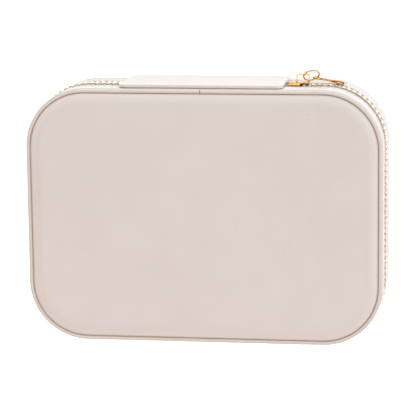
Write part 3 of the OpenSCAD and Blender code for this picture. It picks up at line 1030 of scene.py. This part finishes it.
def roll_mesh(node):
    """Stuffed roll: blown up by cloth pressure from its blank, then kept inside its own space."""
    mesh = roll_blank(node, 0.55)
    obj = new_object("stuffing", mesh)
    low, high = box_mm(node)
    for v, step in zip(mesh.vertices, puffed(obj, 3.0, 0.9)):
        v.co += Vector(step) * MM
    bpy.data.objects.remove(obj)
    bm = bmesh.new()
    bm.from_mesh(mesh)
    for _ in range(4):
        bmesh.ops.smooth_vert(bm, verts=bm.verts, factor=0.5, use_axis_x=True, use_axis_y=True,
                              use_axis_z=True)
    for v in bm.verts:
        for k in range(3):
            v.co[k] = min(max(v.co[k], (low[k] + 0.02) * MM), (high[k] - 0.02) * MM)
    for f in bm.faces:
        f.smooth = True
    bm.to_mesh(mesh)
    bm.free()
    # painted shade: darker towards the bottom of each roll, over its lowest 5 mm
    paint_light_and_shade(mesh, [0.5 * smooth_step((low[2] + 5 - v.co.z / MM) / 5) for v in mesh.vertices])
    mesh.materials.clear()
    mesh.materials.append(VELVET)
    return mesh


def ring_rolls():
    """Eight rolls: one middle shape moved to each place, and one end shape, mirrored for the other end."""
    middle, end = roll_mesh("ring_roll_4"), roll_mesh("ring_roll_1")
    middle_y = centre_mm("ring_roll_4")[0][1]
    for i in range(1, 9):
        node = f"ring_roll_{i}"
        mesh = (end if i in (1, 8) else middle).copy()
        if i == 8:
            mesh.transform(Matrix.Scale(-1, 4, (0, 1, 0)))
            mesh.flip_normals()
        elif i != 1:
            mesh.transform(Matrix.Translation((0, (centre_mm(node)[0][1] - middle_y) * MM, 0)))
        obj = new_object(f"velvet_roll_{i}", mesh)
        fine = obj.modifiers.new("fine", "SUBSURF")
        fine.levels = fine.render_levels = 1
        place(obj, "base", node)


# ---- inside of the lid ----


def depth_inside(x, y):
    """How far a place is inside the walls' outer face."""
    qx, qy = abs(x) - CORNER_X, abs(y) - CORNER_Y
    return CORNER_R - (hypot(qx, qy) if qx > 0 and qy > 0 else max(qx, qy))


def inward(x, y):
    """Direction towards the middle, square to the nearest wall."""
    e = 0.05
    d = depth_inside(x, y)
    gx, gy = depth_inside(x + e, y) - d, depth_inside(x, y + e) - d
    g = hypot(gx, gy) or 1.0
    return gx / g, gy / g


def pocket():
    """Velvet sheet gathered on its elastic, glued up the lining round three sides."""
    (_, y0, z0), (_, _, roof) = box_mm("elastic_pocket")
    s = INSIDE_S + 0.15
    front = y0 - 1.0
    top = 34
    columns = Plan(HALF_W, HALF_D, CORNER_R, 150, top, 14).columns(s)
    last = len(columns) - 1

    def height(x, y):
        near = exp(-(y - front) / 17)
        fold = sin(x * 1.42 + 1.1 * ripple(x, 0, 0, 9, 3.0))
        fold += 0.5 * sin(x * 2.37 + 2 * ripple(x, 5, 0, 14, 1.0))
        edge = smooth_step((depth_inside(x, y) - s) / 3.0)
        wide = 0.25 * ripple(x, y, 0, 16, 2.0)
        return z0 + 0.75 + edge * (0.52 * near * fold + wide * (1 - near)) + 1.3 * (1 - edge) ** 2

    def at(face, i, j):
        return (face * (last + 1) + i) * (top + 1) + j

    verts, faces, ladders = [], [], []
    for thick in (0.0, 0.5):
        for x, far in columns:
            for j in range(top + 1):
                y = front + (far - front) * (1 - (1 - j / top) ** 1.15)
                nx, ny = inward(x, y)
                near = 1 - smooth_step((depth_inside(x, y) - s) / 1.2)
                verts.append((x + nx * near * thick, y + ny * near * thick,
                              height(x, y) + thick * (1 - 0.5 * near)))
    lines = [[[at(face, i, j) for i in range(last + 1)] for j in range(top + 1)] for face in (0, 1)]
    for a, b in [pair for face in lines for pair in zip(face, face[1:])] + [(lines[0][0], lines[1][0])]:
        faces += strip(a, b)
    # the glued edge goes round three sides and up to the roof
    glued = [(0, j) for j in range(top)] + [(i, top) for i in range(last)]
    glued += [(last, j) for j in range(top, -1, -1)]
    for face in (0, 1):
        ladder = [[at(face, i, j) for i, j in glued]]
        for share in (0.35, 0.7, 1.0):
            ladder.append([len(verts) + k for k in range(len(glued))])
            verts += [(x, y, z + (roof - 0.05 - z) * share) for x, y, z in (verts[k] for k in ladder[0])]
        ladders.append(ladder)
        for a, b in zip(ladder, ladder[1:]):
            faces += strip(a, b)
    faces += strip(ladders[0][-1], ladders[1][-1])
    for end in (0, -1):
        faces += strip([ring[end] for ring in ladders[0]], [ring[end] for ring in ladders[1]])
    shape = Shape()
    shape.add(verts, faces, [[(verts[i][0] * MM, verts[i][1] * MM) for i in f] for f in faces])
    obj = place(shape.piece("gathered_pocket", [POCKET_VELVET]), "lid", "elastic_pocket")
    band = gather_band()


def gather_band():
    """Elastic in its casing along the pocket's mouth, ruffled where it draws the sheet in."""
    (_, mid_y, mid_z), (_, half_y, half_z) = centre_mm("pocket_elastic")
    reach = HALF_W - INSIDE_S - 0.1
    count = 420
    rows = []
    for i in range(count + 1):
        x = -reach + 2 * reach * i / count
        gather = 0.5 + 0.5 * sin(x * 3.9 + 1.4 * ripple(x, 0, 0, 5, 2.0))
        z = mid_z + 0.12 * sin(x * 1.42 + ripple(x, 0, 0, 9, 3.0))
        a, b = half_y * (0.86 + 0.14 * gather), half_z * (0.66 + 0.2 * gather)
        rows.append([(x, mid_y + a * cos(t) * (1 if abs(cos(t)) < 0.9 else 0.97), z + b * sin(t))
                     for t in circle(14)])
    shape = Shape().loft(rows)
    return place(shape.piece("gather_band", [ELASTIC]), "lid", "pocket_elastic")


def hung_band(node, radius, cols, rows, turns, profile, painted_light_values=None):
    """Shape of a flat band that hangs under the lid, from a profile measured down from its upper face."""
    (x, y, z), (half_x, half_y, half_z) = centre_mm(node)
    plan = Plan(half_x, half_y, radius, cols, rows, turns)
    return plan.solid(profile, lambda u, v, h: (x + u, y + v, z + half_z - h), painted_light_values=painted_light_values)


def strap_anchor():
    """Padded bar of velvet that the straps are sewn under."""
    (x, y, z), (half_x, half_y, half_z) = centre_mm("strap_anchor")
    t = 2 * half_z
    profile = [(0.1, 0), (0.0, 0.2), (0.0, t - 0.55), (0.12, t - 0.25), (0.4, t - 0.06), (0.8, t)]
    # painted shade along the upper face and its edge, where the bar meets the lid
    shape = hung_band("strap_anchor", 1.2, 40, 8, 4, profile, [0.5, 0.4, 0.1, 0, 0, 0])
    for sy in (-1, 1):
        start = (x - half_x + 1, y + sy * (half_y - 0.9), z - half_z + 0.02)
        stitch_row(shape, start, (1, 0, 0), (0, 0, -1), 2 * half_x - 2, stitch=1.6, gap=0.4, radius=0.14)
    place(shape.piece("strap_anchor_bar", [STRAP_VELVET, THREAD]), "lid", "strap_anchor")


def necklace_strap(i):
    """Velvet strap with a round free end and stitched edges."""
    node = f"necklace_strap_{i}"
    (x, y, z), (half_x, half_y, half_z) = centre_mm(node)
    t = 2 * half_z
    shape = hung_band(node, 2.2, 6, 30, 5, [(0.12, 0), (0.0, 0.14), (0.0, t - 0.14), (0.12, t)])
    for sx in (-1, 1):
        start = (x + sx * (half_x - 0.8), y - half_y + 1.5, z - half_z - 0.01)
        stitch_row(shape, start, (0, 1, 0), (0, 0, -1), 2 * half_y - 3.5, stitch=1.5, gap=0.4, radius=0.12)
    place(shape.piece(f"strap_{i}_band", [STRAP_VELVET, THREAD]), f"strap_{i}", node)


def snap_cap(i):
    """Domed press-stud cap with a rolled rim."""
    node = f"snap_cap_{i}"
    (x, y, z), (r, _, half_z) = centre_mm(node)
    t = 2 * half_z
    profile = [(0.3, 0.0), (r - 0.25, 0.0), (r - 0.04, 0.14), (r, 0.35), (r - 0.12, 0.62), (r - 0.45, 0.74),
               (r - 0.8, 0.7), (r - 1.1, 0.78), (r - 1.8, 0.95), (1.0, t - 0.05), (0.3, t)]
    shape = Shape()
    lathe(shape, profile, (x, y, z + half_z))
    place(shape.piece(f"snap_cap_{i}_dome", [PULL_GOLD], 60), f"strap_{i}", node)


def snap_studs():
    """Three fixed studs that the straps' caps press on."""
    (x, y, z), (half_x, _, half_z) = centre_mm("snap_studs")
    profile = [(0.3, 0), (2.8, 0), (3.0, 0.2), (2.95, 0.5), (2.6, 0.68), (1.6, 0.7), (1.1, 0.8), (0.92, 1.1),
               (1.1, 1.45), (1.0, 1.72), (0.4, 2 * half_z)]
    shape = Shape()
    for side in (-1, 0, 1):
        lathe(shape, profile, (x + side * (half_x - 3), y, z + half_z))
    place(shape.piece("snap_stud_set", [PULL_GOLD], 60), "lid", "snap_studs")


# ---- scene ----


def aim(obj, place_m, target_m, up=(0, 0, 1), roll=0.0):
    """Puts a camera or lamp at a place, looking at a target, with up towards the picture's top."""
    look = (Vector(target_m) - Vector(place_m)).normalized()
    right = look.cross(Vector(up)).normalized()
    turn = Matrix((right, right.cross(look), -look)).transposed()
    obj.location = place_m
    obj.rotation_euler = (turn @ Matrix.Rotation(roll, 3, "Z")).to_euler()


def camera():
    """A long lens almost face on to the lid, a little from the spine's side and from the right."""
    data = bpy.data.cameras.new("camera")
    data.lens = 184.4
    data.clip_start = 0.05
    data.clip_end = 20
    scene.camera = new_object("camera", data)
    aim(scene.camera, (0.1445, 0.1797, 0.9589), (0.00221, 0.00377, 0.0393), (0, 1, 0), radians(-0.68))


def soft_light(name, place_m, power, size, size_y=None, colour=(1, 1, 1)):
    data = bpy.data.lights.new(name, "AREA")
    data.energy = power
    data.size = size
    data.color = colour
    if size_y:
        data.shape = "RECTANGLE"
        data.size_y = size_y
    aim(new_object(name, data), place_m, (0, 0, 0.03))


def studio():
    """White table, a white lamp above it, and cool ones behind and beside it."""
    mesh = bpy.data.meshes.new("table")
    bm = bmesh.new()
    bmesh.ops.create_grid(bm, x_segments=8, y_segments=8, size=4.0)
    bm.to_mesh(mesh)
    bm.free()
    mesh.materials.append(white_table("table_white"))
    new_object("table", mesh)
    studio_walls()
    scene.view_settings.view_transform = "Standard"
    soft_light("top", (-0.1, -0.22, 0.95), 6.6, 0.8)
    soft_light("back", (0.1, 1.2, 0.3), 17.6, 2.0, 1.0, (0.66, 0.90, 1.0))
    soft_light("side", (1.2, 0.1, 0.3), 8.5, 1.4, 0.8, (0.66, 0.88, 1.0))


def studio_walls():
    """Pale walls round the table and a darker ceiling, which the polished metal reflects."""
    world = bpy.data.worlds.new("studio")
    world.use_nodes = True
    n = Nodes(world.node_tree)
    direction = n.make("ShaderNodeTexCoord").outputs["Generated"]
    height = n.span(n.make("ShaderNodeSeparateXYZ", Vector=direction).outputs["Z"], 0.25, 0.7)
    colour = n.mix(height, (0.85, 0.86, 0.88), (0.10, 0.10, 0.10))
    n.fill(world.node_tree.nodes["Background"], {"Color": colour, "Strength": 0.9})
    scene.world = world


def carried_over():
    """CAD nodes that stay as they are, in a better material."""
    for part, material in (("shell", BOARD), ("foam", FOAM)):
        for half in ("base", "lid"):
            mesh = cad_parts[f"{half}_{part}"].data
            mesh.materials.clear()
            mesh.materials.append(material)


def build():
    camera()
    studio()
    carried_over()
    cover("base")
    cover("lid")
    piping("base", 0.08)
    piping("lid", 0.1)
    for part in (lid_pad, base_pad, spine, spine_inside):
        part()
    lining("base")
    lining("lid")
    for part in (tapes, chain, slider, bridge, pull_ring, pull_tab):
        part()
    padded_wall("ring_wall", "ring_tray_wall", False)
    padded_wall("cross_wall", "tray_cross_wall", True)
    padded_wall("divider_1", "tray_divider_1", False)
    padded_wall("divider_2", "tray_divider_2", False)
    for part in (ring_rolls, pocket, strap_anchor, snap_studs):
        part()
    for i in (1, 2, 3):
        necklace_strap(i)
        snap_cap(i)


build()
